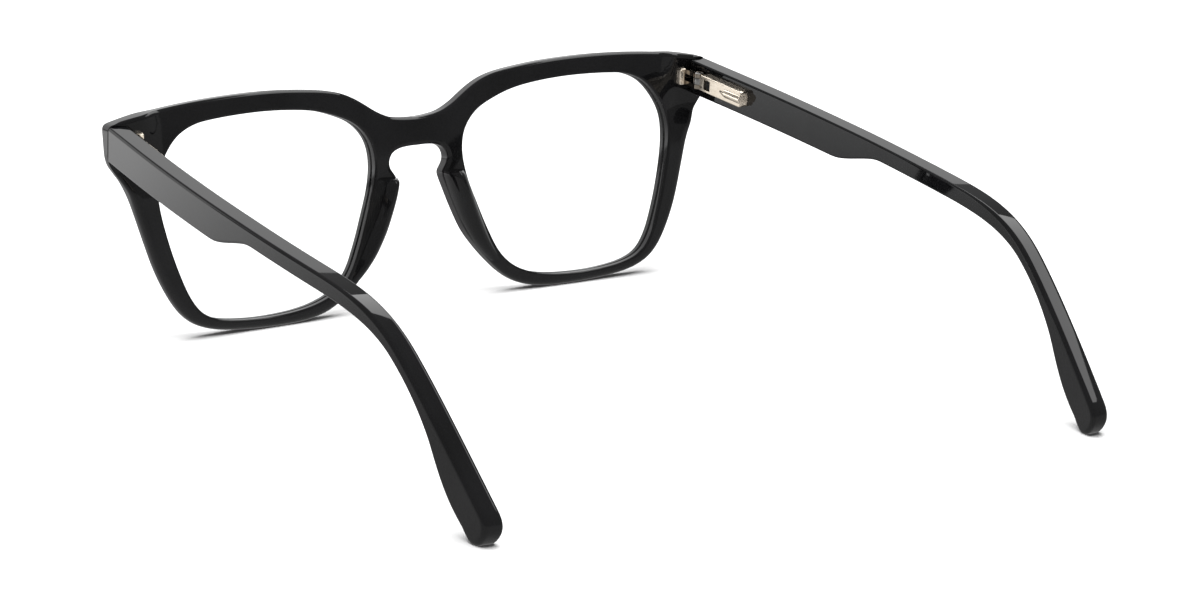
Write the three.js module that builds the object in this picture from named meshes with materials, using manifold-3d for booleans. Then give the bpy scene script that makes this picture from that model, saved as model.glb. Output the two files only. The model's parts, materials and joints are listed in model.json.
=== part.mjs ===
// Eyeglasses frame in glossy acetate: a keyhole front, two clear lenses and two temples on sprung hinges.
// Units are millimetres. The wearer looks along -Y, the wearer's left is +X and +Z is up.
// The origin is on the table, under the middle of the frame, which stands on its rims and temple tips.
import * as THREE from 'three';
import * as BufferGeometryUtils from 'three/addons/utils/BufferGeometryUtils.js';
import Module from 'manifold-3d';

const wasm = await Module();
wasm.setup();

// ---- driving dimensions -----------------------------------------------------------------------------------

const DEG = Math.PI / 180;
const GAP = 0.3; // space left between pieces that are glued or pressed together

// Front. Its plane leans, with the top forward, and its back face curves around the wearer's face.
const FRONT_LEAN = 7.2 * DEG;
const FRONT_THICKNESS = 3.9;
const FRONT_ROUND = 0.9; // radius of its rounded edges
const FACE_CURVE = 0.0004; // rearward sweep, in millimetres per square millimetre of x
const FRONT_SET_BACK = 3.7; // back face at table height, behind the seam's outer corner
const FRONT_RAISE = -0.12; // the lowest edges are cut flat at the table

// Lenses and the groove that holds them.
const LENS_THICKNESS = 1.5;
const LENS_SEAT = 0.9; // how far a lens reaches into the rim
const LENS_DEPTH = 1.2; // from the back face of the front to the back face of a lens
const LENS_BEVEL = 0.4;
const RIM_STEPS = 56; // points around a lens

// Temples, measured from the butt that meets the front.
const SEAM_HALF_WIDTH = 67.8; // x of the outer face at the seam
const SEAM_GAP = 0.3;
const TEMPLE_SLOPE = 4.47 * DEG; // fall of the straight part towards the ear
const TEMPLE_SPLAY = 3.7 * DEG; // outward angle at the hinge
const TEMPLE_THICKNESS = 3.9;
const TEMPLE_ROUND = 0.5;
const TEMPLE_BOW = 0.0007; // inward sweep, in millimetres per square millimetre of length
const BOW_START = 12;
const TEMPLE_STEP = 5; // longest straight stretch of its outline
const WIRE_RADIUS = 0.6;
const WIRE_CLEARANCE = 0.2;
const WIRE_MARGIN = 0.6; // from the end of the housing's pocket to the wire, its hole overlapping by as much

// Hinge. The screw's axis is measured from the outer corner of the temple's butt.
const AXIS_INSET = 4.7;
const AXIS_SETBACK = 4.3;
const AXIS_HEIGHT = 40.1; // above the table
const BARREL_RADIUS = 1.15;
const BARREL_HALF = 1.6; // half the height of the whole barrel
const MIDDLE_HALF = 0.65; // half the height of the slider's knuckle
const NECK_INNER = -0.5; // sides of the slider between its knuckle and its stem
const NECK_OUTER = 1.1;
const KNUCKLE_GAP = 0.12;
const SCREW_RADIUS = 0.5;
const SCREW_CLEARANCE = 0.07;
const HEAD_RADIUS = 0.85;
const HEAD_DEPTH = 0.45;
const HEAD_SUNK = 0.03; // below the top of the knuckle, and clear of its seat
const SLOT_WIDTH = 0.24;
const SLOT_DEPTH = 0.25;
const LEAF_INNER = -1.35; // inboard side of the leaf, from the axis
const LEAF_OUTER = 0.45;
const LEAF_BACK = -3.3; // rear face of the leaf's block
const LEAF_DEPTH = 2.6; // from there forwards into the end piece
const ARM_INNER = -1.05; // inboard side of the arms between the block and the knuckles
const ARM_ROOT = 0.2; // the arms start inside the block by this much
const ANCHOR_DEPTH = 1.2; // further reach of its prong
const PRONG_STEP = 0.5; // the prong is narrower than the block by this much on every side

// Spring housing, measured from the screw's axis along the temple.
const HOUSING_START = 1.5;
const HOUSING_LENGTH = 14.3;
const HOUSING_HALF = 1.65; // half its height
const HOUSING_PROUD = 0.9; // stands out of the temple's inner face
const HOUSING_SUNK = 1.35; // let into the temple
const FRONT_WALL = 0.7; // the wall that the stem passes through
const REAR_WALL = 1.2;
const BORE_RADIUS = 0.95;
const RIDGE_RADIUS = 1.3;
const RIDGE_SETBACK = 0.9; // from the rear end of the housing
const MOUTH_CLEARANCE = 0.15; // around the stem
const WINDOW_SETBACK = 0.2; // behind the front wall
const WINDOW_LENGTH = 2;
const WINDOW_HALF = 0.85;
const STEM_OFFSET = 0.45; // of the stem and the bore, outwards from the screw's axis
const STEM_RADIUS = 0.4;
const STEM_END = 12.2;
const NUT_SETBACK = 0.1; // of the nut from the end of the stem
const PULL = 1; // travel of the housing over the stem
const NUT_RADIUS = 0.8;
const NUT_LENGTH = 1.1;
const NUT_CLEARANCE = 0.08; // around the stem
const SPRING_RADIUS = 0.68; // of the coil's centre line
const SPRING_WIRE = 0.13; // radius
const SPRING_TURNS = 7;
const SPRING_END_GAP = 0.1; // from the front wall and from the nut

// ---- materials --------------------------------------------------------------------------------------------

const acetate = () => new THREE.MeshStandardMaterial({ color: 0x0b0b0c, roughness: 0.12, metalness: 0 });
const paleGold = () => new THREE.MeshStandardMaterial({ color: 0xdccbab, roughness: 0.25, metalness: 1 });
const steel = () => new THREE.MeshStandardMaterial({ color: 0xb9bcc0, roughness: 0.3, metalness: 1 });
const clearLens = () => new THREE.MeshStandardMaterial({
  color: 0xf4f8f8,
  roughness: 0.03,
  metalness: 0,
  transparent: true,
  opacity: 0.12,
});

// ---- helpers ----------------------------------------------------------------------------------------------

const LEFT = new THREE.Matrix4();
const RIGHT = new THREE.Matrix4().makeScale(-1, 1, 1);

// Stands a shape drawn in X and Y up in the YZ plane, with its depth along X.
const SIDEWAYS = new THREE.Matrix4().makeBasis(
  new THREE.Vector3(0, 1, 0),
  new THREE.Vector3(0, 0, 1),
  new THREE.Vector3(1, 0, 0),
);

// Turns a closed three.js geometry, moved by a matrix, into a solid that can be cut and joined.
function solid(geometry, matrix = LEFT) {
  const plain = geometry.index ? geometry.toNonIndexed() : geometry.clone();
  plain.deleteAttribute('normal');
  plain.deleteAttribute('uv');
  plain.applyMatrix4(matrix);
  const merged = BufferGeometryUtils.mergeVertices(plain, 1e-4);
  const triangles = new Uint32Array(merged.index.array);
  if (matrix.determinant() < 0) {
    triangles.reverse();
  }
  return new wasm.Manifold(new wasm.Mesh({
    numProp: 3,
    vertProperties: new Float32Array(merged.attributes.position.array),
    triVerts: triangles,
  }));
}

function geometryOf(manifold) {
  const mesh = manifold.getMesh();
  const geometry = new THREE.BufferGeometry();
  geometry.setAttribute('position', new THREE.BufferAttribute(new Float32Array(mesh.vertProperties), 3));
  geometry.setIndex(new THREE.BufferAttribute(new Uint32Array(mesh.triVerts), 1));
  geometry.computeVertexNormals();
  return geometry;
}

function piece(name, shape, material) {
  const geometry = shape.isBufferGeometry ? shape : geometryOf(shape);
  const mesh = new THREE.Mesh(geometry, material);
  mesh.name = name;
  return mesh;
}

function box(x0, x1, y0, y1, z0, z1) {
  const geometry = new THREE.BoxGeometry(x1 - x0, y1 - y0, z1 - z0);
  return geometry.translate((x0 + x1) / 2, (y0 + y1) / 2, (z0 + z1) / 2);
}

// Upright cylinder about the Z axis.
function post(radius, z0, z1, sides = 20) {
  const geometry = new THREE.CylinderGeometry(radius, radius, z1 - z0, sides);
  return geometry.rotateX(Math.PI / 2).translate(0, 0, (z0 + z1) / 2);
}

// Cylinder along Y on the line of the stem.
function barrel(radius, y0, y1, sides = 20) {
  const geometry = new THREE.CylinderGeometry(radius, radius, y1 - y0, sides);
  return geometry.translate(STEM_OFFSET, (y0 + y1) / 2, 0);
}

// Moves every vertex of a geometry by a function of its place.
function warp(geometry, move) {
  const position = geometry.attributes.position;
  const point = new THREE.Vector3();
  for (let i = 0; i < position.count; i += 1) {
    point.fromBufferAttribute(position, i);
    move(point);
    position.setXYZ(i, point.x, point.y, point.z);
  }
  return geometry;
}

// Extrudes an outline between two depths, with its edges taken off by `edge` in `steps` steps.
function plate(shape, z0, z1, edge = 0, steps = 1) {
  const geometry = new THREE.ExtrudeGeometry(shape, {
    depth: z1 - z0 - 2 * edge,
    bevelEnabled: edge > 0,
    bevelSize: edge,
    bevelThickness: edge,
    bevelOffset: -edge,
    bevelSegments: steps,
  });
  return geometry.translate(0, 0, z0 + edge);
}

// Closed solid through rings that all have the same number of points.
function loft(rings) {
  const sides = rings[0].length;
  const vertices = rings.flat().flatMap((p) => [p.x, p.y, p.z]);
  const faces = [];
  for (let ring = 0; ring + 1 < rings.length; ring += 1) {
    for (let side = 0; side < sides; side += 1) {
      const a = ring * sides + side;
      const b = ring * sides + ((side + 1) % sides);
      faces.push(a, b, b + sides, a, b + sides, a + sides);
    }
  }
  const last = (rings.length - 1) * sides;
  for (let side = 1; side + 1 < sides; side += 1) {
    faces.push(0, side + 1, side, last, last + side, last + side + 1);
  }
  const geometry = new THREE.BufferGeometry();
  geometry.setAttribute('position', new THREE.Float32BufferAttribute(vertices, 3));
  geometry.setIndex(faces);
  geometry.computeVertexNormals();
  return geometry;
}

const vectors = (pairs) => pairs.map(([x, y]) => new THREE.Vector2(x, y));

// ---- frames of reference ----------------------------------------------------------------------------------

// The front's own frame: X across, Y up its leaning plane, Z forwards from its back face.
function frontFrame() {
  const group = new THREE.Group();
  group.rotation.x = Math.PI / 2 + FRONT_LEAN;
  group.position.set(0, FRONT_SET_BACK, FRONT_RAISE);
  group.updateMatrixWorld();
  return group;
}

// The left hinge's own frame: origin on the screw's axis, Y along the open temple, Z up the screw.
function hingeFrame() {
  const group = new THREE.Group();
  group.rotation.set(-TEMPLE_SLOPE, 0, -TEMPLE_SPLAY);
  const corner = new THREE.Vector3(AXIS_INSET, -AXIS_SETBACK, 0).applyEuler(group.rotation);
  group.position.set(SEAM_HALF_WIDTH - corner.x, -corner.y, AXIS_HEIGHT);
  group.updateMatrixWorld();
  return group;
}

const front = frontFrame();
const leftHinge = hingeFrame();
const hingeToFront = front.matrixWorld.clone().invert().multiply(leftHinge.matrixWorld);

// Everything below the table, in a group's own frame.
const belowTable = (group) => solid(box(-200, 200, -100, 300, -60, 0), group.matrixWorld.clone().invert());

const curved = (geometry) => warp(geometry, (p) => { p.z -= FACE_CURVE * p.x * p.x; });

// ---- front ------------------------------------------------------------------------------------------------

// Left half of the outline: over the brow, around the end piece and the rim, and up into the keyhole.
function halfOutline() {
  const path = new THREE.Path();
  path.moveTo(0, 38.5);
  path.splineThru(vectors([
    [3, 38.7], [5.8, 39.2], [8.6, 40.5], [11, 42.1], [13.4, 43.7], [15.8, 44.9], [18.6, 45.7], [22.5, 46.3],
    [30, 47], [38.7, 47.2], [48, 46.9], [57, 46.1], [62.5, 45.2], [66.7, 44.3],
  ]));
  path.quadraticCurveTo(67.8, 44.1, 67.8, 43);
  path.lineTo(67.8, 38.2);
  path.splineThru(vectors([
    [67.4, 36.4], [66.3, 34.6], [64.9, 32.5], [63.6, 29.6], [62.2, 24.8], [60.8, 19.8], [59.3, 14.8],
    [57.3, 10.1], [55, 6.1], [52.4, 3.4], [49, 1.8], [44.6, 0.9], [37.5, 0.35], [30, 0.3], [25, 0.8],
    [21.2, 2], [18.2, 3.9], [15.5, 6.5], [12.6, 9.9], [9.8, 14], [7.8, 18.6], [6.3, 22.8], [5.4, 25.5],
    [5.2, 26.8], [5.8, 27.8], [6.5, 29], [6.5, 30.4], [5.8, 31.7], [4.3, 32.5], [2.1, 32.8], [0, 32.8],
  ]));
  return path.getPoints(2);
}

function outline() {
  const half = halfOutline();
  const otherHalf = half.slice(1, -1).reverse().map((p) => new THREE.Vector2(-p.x, p.y));
  return new THREE.Shape([...half, ...otherHalf].reverse());
}

// Opening of the left rim, and the same outline grown by `grow`.
function rimOpening(grow = 0) {
  const curve = new THREE.CatmullRomCurve3([
    [17.8, 40.6], [22.4, 42.1], [27.7, 42.9], [33.7, 43.3], [38.8, 43.3], [44.8, 43], [49.2, 42.4],
    [53.1, 40.5], [56, 37], [57.8, 33], [58, 27.9], [56.5, 19.8], [54.4, 12.7], [52.6, 8.3], [50.3, 5.2],
    [46.9, 3.6], [39.8, 2.6], [33.7, 2.55], [27.7, 3.1], [23.4, 4.2], [20, 5.9], [17.2, 8.8], [14.7, 14],
    [12.7, 19.4], [10.6, 25.9], [10, 31], [10.9, 35.1], [13.7, 38.5],
  ].map(([x, y]) => new THREE.Vector3(x, y, 0)), true, 'centripetal');
  return Array.from({ length: RIM_STEPS }, (_, i) => {
    const point = curve.getPoint(i / RIM_STEPS);
    const along = curve.getTangent(i / RIM_STEPS);
    return new THREE.Vector2(point.x - along.y * grow, point.y + along.x * grow);
  });
}

const toRight = (loop) => loop.map((p) => new THREE.Vector2(-p.x, p.y)).reverse();

// A disc that fills a rim: the lens itself, or the groove around it when `clearance` is more than zero.
function lensShape(side, clearance = 0) {
  const loop = rimOpening(LENS_SEAT + clearance);
  const shape = new THREE.Shape(side === RIGHT ? toRight(loop) : loop);
  const back = LENS_DEPTH - clearance;
  return curved(plate(shape, back, back + LENS_THICKNESS + 2 * clearance, LENS_BEVEL));
}

// Raised block behind each upper outer corner, flush with the butt of the open temple.
function endBlock() {
  const seam = -AXIS_SETBACK - SEAM_GAP;
  const plan = new THREE.Shape();
  plan.moveTo(-6.4, -7.4);
  plan.lineTo(7, -7.4);
  plan.lineTo(7, seam);
  plan.lineTo(-2.6, seam);
  plan.quadraticCurveTo(-3.4, -6, -6.4, -6.5);
  return plate(plan, -8, 6);
}

// Room behind the seam for the butt of the temple.
const seamRelief = () => box(-2.6, 9, -AXIS_SETBACK - SEAM_GAP, 9, -6.3, 6);

function frontPiece() {
  const shape = outline();
  shape.holes = [rimOpening(), toRight(rimOpening())].map((loop) => new THREE.Path(loop));
  let body = solid(curved(plate(shape, 0, FRONT_THICKNESS, FRONT_ROUND, 2)));
  const reach = solid(curved(plate(outline(), -4, FRONT_THICKNESS - 1)));
  for (const side of [LEFT, RIGHT]) {
    const fromHinge = side.clone().multiply(hingeToFront);
    body = body.add(solid(endBlock(), fromHinge).intersect(reach));
    body = body.subtract(solid(seamRelief(), fromHinge));
    body = body.subtract(solid(leafPocket(), fromHinge));
    body = body.subtract(solid(lensShape(side, GAP)));
  }
  return piece('front', body.subtract(belowTable(front)), acetate());
}

// Nose pad: a ridge along the nose side of the rim, highest at its sharp upper end.
const PAD_STATIONS = [
  // height up the front, inner edge, width, rise
  [26.9, 5.7, 4.2, 2.6],
  [26.2, 5.6, 4.6, 3.6],
  [24, 6.2, 4.8, 4],
  [20, 7.5, 4.8, 3.6],
  [16, 9.1, 4.6, 2.9],
  [12, 11.3, 3.9, 2],
  [9.2, 13.4, 3.2, 1.2],
  [7.4, 15.1, 2.7, 0.5],
];
const PAD_SECTION = [[0, 0], [0.04, 0.42], [0.14, 0.72], [0.3, 0.94], [0.42, 1], [0.6, 0.85], [0.8, 0.5], [1, 0]];

function nosePad(name, side) {
  const rings = PAD_STATIONS.map(([height, inner, width, rise]) => PAD_SECTION.map(([across, up]) => (
    new THREE.Vector3(inner + width * across, height, -GAP - rise * up)
  )));
  return piece(name, solid(curved(loft(rings)), side), acetate());
}

// ---- hinge ------------------------------------------------------------------------------------------------

// Block and prong of the leaf, grown by `clearance` for the pocket that takes them.
function leafRoot(clearance) {
  const blockEnd = LEAF_BACK - LEAF_DEPTH;
  const block = box(
    LEAF_INNER - clearance,
    LEAF_OUTER + clearance,
    blockEnd - clearance,
    LEAF_BACK,
    -BARREL_HALF - clearance,
    BARREL_HALF + clearance,
  );
  const prong = box(
    LEAF_INNER + PRONG_STEP - clearance,
    LEAF_OUTER - PRONG_STEP + clearance,
    blockEnd - ANCHOR_DEPTH - clearance,
    blockEnd,
    -BARREL_HALF + PRONG_STEP - clearance,
    BARREL_HALF - PRONG_STEP + clearance,
  );
  return solid(block).add(solid(prong));
}

function leafPocket() {
  return geometryOf(leafRoot(GAP));
}

// Front leaf: a block let into the end piece, with an arm and a knuckle above and below the slider's knuckle.
function leaf() {
  const knuckle = MIDDLE_HALF + KNUCKLE_GAP;
  let body = leafRoot(0);
  for (const [z0, z1] of [[-BARREL_HALF, -knuckle], [knuckle, BARREL_HALF]]) {
    body = body.add(solid(post(BARREL_RADIUS, z0, z1)));
    body = body.add(solid(box(ARM_INNER, LEAF_OUTER, LEAF_BACK - ARM_ROOT, 0, z0, z1)));
  }
  body = body.subtract(solid(post(SCREW_RADIUS + SCREW_CLEARANCE, -4, 4)));
  return body.subtract(solid(post(HEAD_RADIUS + SCREW_CLEARANCE, BARREL_HALF - HEAD_DEPTH, 4)));
}

// Screw: its slotted head lies in the upper knuckle.
function screw() {
  const shank = solid(post(SCREW_RADIUS, -BARREL_HALF, BARREL_HALF - HEAD_DEPTH));
  const head = solid(post(HEAD_RADIUS, BARREL_HALF - HEAD_DEPTH + HEAD_SUNK, BARREL_HALF - HEAD_SUNK));
  const neck = solid(post(SCREW_RADIUS, 0, BARREL_HALF - HEAD_DEPTH / 2));
  const slot = solid(box(-2, 2, -SLOT_WIDTH / 2, SLOT_WIDTH / 2, BARREL_HALF - SLOT_DEPTH, 3));
  return shank.add(neck).add(head).subtract(slot);
}

// Slider: the middle knuckle and the stem that runs into the housing.
function slider() {
  const knuckle = solid(post(BARREL_RADIUS, -MIDDLE_HALF, MIDDLE_HALF));
  const neck = solid(box(NECK_INNER, NECK_OUTER, 0, HOUSING_START - GAP, -MIDDLE_HALF, MIDDLE_HALF));
  const stem = solid(barrel(STEM_RADIUS, 0.9, STEM_END, 16));
  const hole = solid(post(SCREW_RADIUS + SCREW_CLEARANCE, -4, 4));
  return knuckle.add(neck).add(stem).subtract(hole);
}

function stopNut() {
  const end = STEM_END - NUT_SETBACK;
  const nut = solid(barrel(NUT_RADIUS, end - NUT_LENGTH, end, 6));
  return nut.subtract(solid(barrel(STEM_RADIUS + NUT_CLEARANCE, 0, STEM_END, 16)));
}

// Coil spring around the stem, between the housing's front wall and the nut.
function spring() {
  const start = HOUSING_START + FRONT_WALL + SPRING_WIRE + SPRING_END_GAP;
  const end = STEM_END - NUT_SETBACK - NUT_LENGTH - SPRING_WIRE - SPRING_END_GAP;
  const helix = new THREE.Curve();
  helix.getPoint = (t) => {
    const angle = t * SPRING_TURNS * 2 * Math.PI;
    return new THREE.Vector3(
      STEM_OFFSET + SPRING_RADIUS * Math.cos(angle),
      THREE.MathUtils.lerp(start, end, t),
      SPRING_RADIUS * Math.sin(angle),
    );
  };
  const section = new THREE.Shape();
  section.absarc(0, 0, SPRING_WIRE, 0, 2 * Math.PI);
  return solid(new THREE.ExtrudeGeometry(section, {
    steps: SPRING_TURNS * 10,
    curveSegments: 3,
    extrudePath: helix,
  }));
}

// Outline of the housing in Y and Z, with a round rear end.
function housingShape(grow = 0) {
  const half = HOUSING_HALF + grow;
  const end = HOUSING_START + HOUSING_LENGTH - HOUSING_HALF;
  const shape = new THREE.Shape();
  shape.moveTo(HOUSING_START - grow, -half);
  shape.lineTo(end, -half);
  shape.absarc(end, 0, half, -Math.PI / 2, Math.PI / 2);
  shape.lineTo(HOUSING_START - grow, half);
  return shape;
}

const INNER_FACE = AXIS_INSET - TEMPLE_THICKNESS;
const POCKET_END = AXIS_SETBACK + HOUSING_START + HOUSING_LENGTH; // from the temple's butt

function housing() {
  const shell = plate(housingShape(), INNER_FACE - HOUSING_PROUD, INNER_FACE + HOUSING_SUNK);
  const end = HOUSING_START + HOUSING_LENGTH;
  const ridge = barrel(RIDGE_RADIUS, HOUSING_START, end - RIDGE_SETBACK);
  const bore = barrel(BORE_RADIUS, HOUSING_START + FRONT_WALL, end - REAR_WALL);
  const mouth = barrel(STEM_RADIUS + MOUTH_CLEARANCE, 0, HOUSING_START + 2 * FRONT_WALL);
  const windowStart = HOUSING_START + FRONT_WALL + WINDOW_SETBACK;
  const opening = box(-3, STEM_OFFSET, windowStart, windowStart + WINDOW_LENGTH, -WINDOW_HALF, WINDOW_HALF);
  return solid(shell, SIDEWAYS)
    .add(solid(ridge))
    .subtract(solid(bore))
    .subtract(solid(mouth))
    .subtract(solid(opening));
}

// ---- temple -----------------------------------------------------------------------------------------------

// Side view of a temple, along it from its butt and up from the level of the hinge.
function templeOutline() {
  const path = new THREE.Path();
  path.moveTo(-2, 3.2);
  path.lineTo(60, 3.15);
  path.lineTo(88, 2.95);
  path.bezierCurveTo(100, 2.85, 109, 2.6, 117.4, -2.3);
  path.bezierCurveTo(125.2, -7.2, 134.5, -15, 144.1, -23.2);
  path.quadraticCurveTo(146.4, -25.4, 144.6, -27.8);
  path.quadraticCurveTo(142, -31.6, 138.9, -27.6);
  path.bezierCurveTo(133.6, -24.4, 131, -19.9, 128.2, -15.5);
  path.bezierCurveTo(124.6, -10.9, 121, -7.9, 117, -5.4);
  path.bezierCurveTo(111, -1.3, 102, -0.3, 90, -0.3);
  path.lineTo(66, -0.12);
  path.bezierCurveTo(63, -0.14, 54, -3.72, 50.5, -3.7);
  path.lineTo(-2, -3.85);
  return path.getPoints(5);
}

// The same outline with long straight stretches divided, so that it can bend.
function divided(loop, longest) {
  return loop.flatMap((from, i) => {
    const to = loop[(i + 1) % loop.length];
    const parts = Math.max(1, Math.round(from.distanceTo(to) / longest));
    return Array.from({ length: parts }, (_, k) => from.clone().lerp(to, k / parts));
  });
}

const bowed = (geometry) => warp(geometry, (p) => {
  const past = Math.max(0, p.y + AXIS_SETBACK - BOW_START);
  p.x -= TEMPLE_BOW * past * past;
});

// Wire along the middle of the temple, or the hole for it.
function coreWire(radius, start) {
  const middle = AXIS_INSET - TEMPLE_THICKNESS / 2;
  const curve = new THREE.CatmullRomCurve3([
    [start, -0.2], [40, -0.1], [60, 1], [75, 1.5], [89, 1.35], [100, 0.9], [110, -0.6], [119, -4.9],
    [128.5, -13], [137, -21.4],
  ].map(([along, up]) => new THREE.Vector3(middle, along - AXIS_SETBACK, up)), false, 'centripetal');
  const section = new THREE.Shape();
  section.absarc(0, 0, radius, 0, 2 * Math.PI);
  return bowed(new THREE.ExtrudeGeometry(section, { steps: 28, curveSegments: 4, extrudePath: curve }));
}

function temple(group) {
  const loop = divided(templeOutline(), TEMPLE_STEP);
  const shape = new THREE.Shape(loop.map((p) => new THREE.Vector2(p.x - AXIS_SETBACK, p.y)));
  const blank = plate(shape, INNER_FACE, AXIS_INSET, TEMPLE_ROUND, 2).applyMatrix4(SIDEWAYS);
  const pocket = plate(housingShape(GAP), -4, INNER_FACE + HOUSING_SUNK + GAP);
  const slot = box(
    -2,
    BARREL_RADIUS + GAP,
    -BARREL_RADIUS - PULL - GAP,
    HOUSING_START,
    -BARREL_HALF - GAP,
    BARREL_HALF + GAP,
  );
  return solid(bowed(blank))
    .subtract(solid(box(-9, 9, -20, -AXIS_SETBACK, -20, 20)))
    .subtract(solid(slot))
    .subtract(solid(pocket, SIDEWAYS))
    .subtract(solid(coreWire(WIRE_RADIUS + WIRE_CLEARANCE, POCKET_END - WIRE_MARGIN)))
    .subtract(belowTable(group));
}

// ---- assembly ---------------------------------------------------------------------------------------------

function hingeAndTemple(suffix, side) {
  const group = hingeFrame();
  group.add(
    piece(`hinge_leaf_${suffix}`, leaf(), paleGold()),
    piece(`hinge_screw_${suffix}`, screw(), steel()),
    piece(`slider_${suffix}`, slider(), steel()),
    piece(`stop_nut_${suffix}`, stopNut(), steel()),
    piece(`spring_${suffix}`, spring(), steel()),
    piece(`spring_housing_${suffix}`, housing(), paleGold()),
    piece(`temple_${suffix}`, temple(group), acetate()),
    piece(`core_wire_${suffix}`, solid(coreWire(WIRE_RADIUS, POCKET_END + WIRE_MARGIN)), steel()),
  );
  const mirror = new THREE.Group();
  mirror.applyMatrix4(side);
  return mirror.add(group);
}

front.add(
  frontPiece(),
  piece('lens_left', lensShape(LEFT), clearLens()),
  piece('lens_right', lensShape(RIGHT), clearLens()),
  nosePad('nose_pad_left', LEFT),
  nosePad('nose_pad_right', RIGHT),
);

const frame = new THREE.Group();
frame.name = 'eyeglasses_frame';
frame.add(front, hingeAndTemple('left', LEFT), hingeAndTemple('right', RIGHT));

// The origin goes under the middle of the whole frame.
const bounds = new THREE.Box3().setFromObject(frame, true);
frame.position.y = -(bounds.min.y + bounds.max.y) / 2;

export default frame;
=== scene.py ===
"""Looks of a pair of eyeglasses: black acetate, clear lenses and gold sprung hinges, on a white table."""

import json
import math

import bmesh
import bpy
import numpy as np
from mathutils import Matrix, Vector
from mathutils.geometry import delaunay_2d_cdt

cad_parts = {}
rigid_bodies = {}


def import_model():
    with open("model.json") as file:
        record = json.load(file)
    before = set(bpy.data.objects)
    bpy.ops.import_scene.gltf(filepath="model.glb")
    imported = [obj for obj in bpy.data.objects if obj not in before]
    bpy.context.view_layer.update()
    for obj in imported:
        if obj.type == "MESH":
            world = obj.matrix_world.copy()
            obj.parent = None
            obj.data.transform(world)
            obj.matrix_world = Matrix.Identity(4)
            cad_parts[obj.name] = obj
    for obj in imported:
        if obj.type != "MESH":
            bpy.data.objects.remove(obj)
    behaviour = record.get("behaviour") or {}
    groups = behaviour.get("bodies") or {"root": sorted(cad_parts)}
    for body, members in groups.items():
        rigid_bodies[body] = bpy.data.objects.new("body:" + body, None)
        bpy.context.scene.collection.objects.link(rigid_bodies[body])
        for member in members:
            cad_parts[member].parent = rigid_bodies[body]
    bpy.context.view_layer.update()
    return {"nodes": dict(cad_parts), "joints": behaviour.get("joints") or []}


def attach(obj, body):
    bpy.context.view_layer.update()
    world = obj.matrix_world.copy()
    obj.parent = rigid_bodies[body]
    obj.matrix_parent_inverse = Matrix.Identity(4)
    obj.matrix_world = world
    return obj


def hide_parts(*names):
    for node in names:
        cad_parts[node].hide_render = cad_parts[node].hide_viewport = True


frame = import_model()
MM = 0.001
DEG = math.pi / 180

# A pair named _ACROSS, _UP or _ALONG is a blend, (start, width): 0 up to the start and 1 from start + width.

# ---- front: X across, Y up the front, depth forwards from the back face, in millimetres -------------------

FRONT_LEAN = 7.2 * DEG
FRONT_THICKNESS = 3.9
FACE_CURVE = 0.0004  # both faces fall back by this times X squared
FRONT_SET_BACK = 3.7
FRONT_RAISE = -0.12
GROOVE = 0.4
LENS_DEPTH = 1.2
LENS_THICKNESS = 1.5
LENS_CLEARANCE = 0.05
LENS_EDGE = 0.5
LENS_SPACING = 2.0

HALF_TOP = [
    (0, 38.5), (3, 38.7), (5.8, 39.2), (8.6, 40.5), (11, 42.1), (13.4, 43.7), (15.8, 44.9), (18.6, 45.7),
    (22.5, 46.3), (30, 47), (38.7, 47.2), (48, 46.9), (57, 46.1), (62.5, 45.2), (66.7, 44.3),
]
TOP_CORNER = [(66.7, 44.3), (67.8, 44.1), (67.8, 43)]
HALF_SIDE = [
    (67.8, 38.2), (67.4, 36.4), (66.3, 34.6), (64.9, 32.5), (63.6, 29.6), (62.2, 24.8), (60.8, 19.8),
    (59.3, 14.8), (57.3, 10.1), (55, 6.1), (52.4, 3.4), (49, 1.8), (44.6, 0.9), (37.5, 0.35), (30, 0.3),
    (25, 0.8), (21.2, 2), (18.2, 3.9), (15.5, 6.5), (12.6, 9.9), (9.8, 14), (7.8, 18.6), (6.3, 22.8),
    (5.4, 25.5), (5.2, 26.8), (5.8, 27.8), (6.5, 29), (6.5, 30.4), (5.8, 31.7), (4.3, 32.5), (2.1, 32.8),
    (0, 32.8),
]
RIM_OPENING = [
    (17.8, 40.6), (22.4, 42.1), (27.7, 42.9), (33.7, 43.3), (38.8, 43.3), (44.8, 43), (49.2, 42.4),
    (53.1, 40.5), (56, 37), (57.8, 33), (58, 27.9), (56.5, 19.8), (54.4, 12.7), (52.6, 8.3), (50.3, 5.2),
    (46.9, 3.6), (39.8, 2.6), (33.7, 2.55), (27.7, 3.1), (23.4, 4.2), (20, 5.9), (17.2, 8.8), (14.7, 14),
    (12.7, 19.4), (10.6, 25.9), (10, 31), (10.9, 35.1), (13.7, 38.5),
]
OUTLINE_LIGHT, OUTLINE_HEAVY = 0.35, 1.6  # bell half widths of the smoothing
OPENING_SMOOTHING = 1.0
SMOOTHER_ACROSS = (10, 4)  # outside the bridge the heavy smoothing takes over
CRISP_END_ACROSS, CRISP_END_UP = (58, 3), (31, 3)  # and at the end pieces the light one returns

END_PIECE_ACROSS, END_PIECE_UP = (56.5, 4.6), (30, 5.5)  # where the back face moves back to the seam
END_PIECE_REACH = 3.7
END_PIECE_DROP = 0.65
DROP_ACROSS, DROP_UP = (56, 6), (37, 5)  # where the end piece's top is lowered
DROP_LIMITS = (-0.4, 1.1)

FRONT_RADIUS = 1.0
BACK_RADIUS = 0.85
FLANK_GAIN = 1.1  # added to the back radius on the lower rims
FLANK_ACROSS, FLANK_UP = (13, 8), (26, 8)
SEAM_RADIUS = 0.12
SEAM_ACROSS, SEAM_UP = (60.2, 1.2), (33, 2.5)
TOP_EDGE_UP = (43.6, 0.8)
TOP_EDGE_SHIFT = (4.5, 0.8)  # added to SEAM_ACROSS along the top edge
RIM_BACK_RADIUS, RIM_FRONT_RADIUS = 0.4, 0.5

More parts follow.
